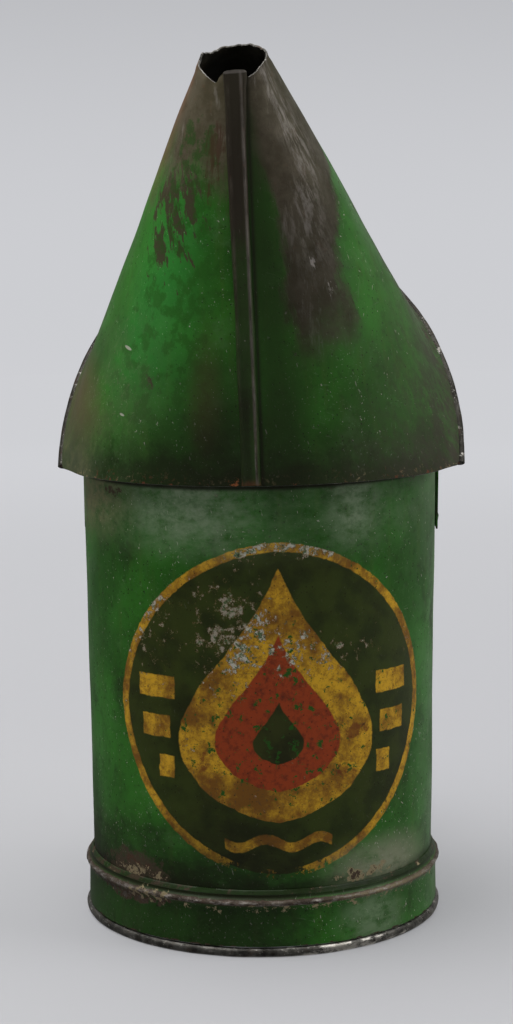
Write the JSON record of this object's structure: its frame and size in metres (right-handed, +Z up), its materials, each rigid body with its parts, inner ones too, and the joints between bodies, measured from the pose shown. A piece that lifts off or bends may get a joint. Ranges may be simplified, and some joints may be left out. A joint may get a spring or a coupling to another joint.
{
  "type": "oil can",
  "caption": "Hooded tinplate can for measuring and pouring motor oil: upright cylinder on a wired foot, leaning conical pouring hood with a filling gap behind it, and a rear strap handle.",
  "frame": {"origin": "centre of the whole can's footprint box, on the surface that the foot stands on", "axes": "+Z up, the spout points along -Y and the handle is at +Y, +X is to the right when seen from the front"},
  "size_m": [0.1185, 0.1502, 0.2552],
  "materials": {
    "green_enamel": "old green enamel on tinplate, worn, stained and chipped, with rust along the edges",
    "worn_edge": "rolled edges with most of the enamel rubbed off, dark oxide with bright rubbed spots",
    "bare_tinplate": "dull bare tinplate with brown stains",
    "steel_wire": "dark iron wire",
    "solder": "dull grey soft solder, stained"
  },
  "bodies": {
    "root": {"body_shell": "green_enamel", "body_side_seam": "green_enamel", "mouth_roll": "worn_edge", "mouth_wire": "steel_wire", "rear_collar": "green_enamel", "base_plate": "bare_tinplate", "base_solder": "solder", "foot_band": "green_enamel", "foot_roll": "worn_edge", "foot_wire": "steel_wire", "foot_solder": "solder", "hood_shell": "green_enamel", "hood_front_seam": "green_enamel", "hood_edge_roll": "worn_edge", "hood_edge_wire": "steel_wire", "hood_solder": "solder", "handle_strap": "green_enamel", "handle_edge_wire_left": "worn_edge", "handle_edge_wire_right": "worn_edge", "handle_rivet_upper_left": "bare_tinplate", "handle_rivet_upper_right": "bare_tinplate", "handle_rivet_lower_left": "bare_tinplate", "handle_rivet_lower_right": "bare_tinplate"}
  },
  "joints": []
}
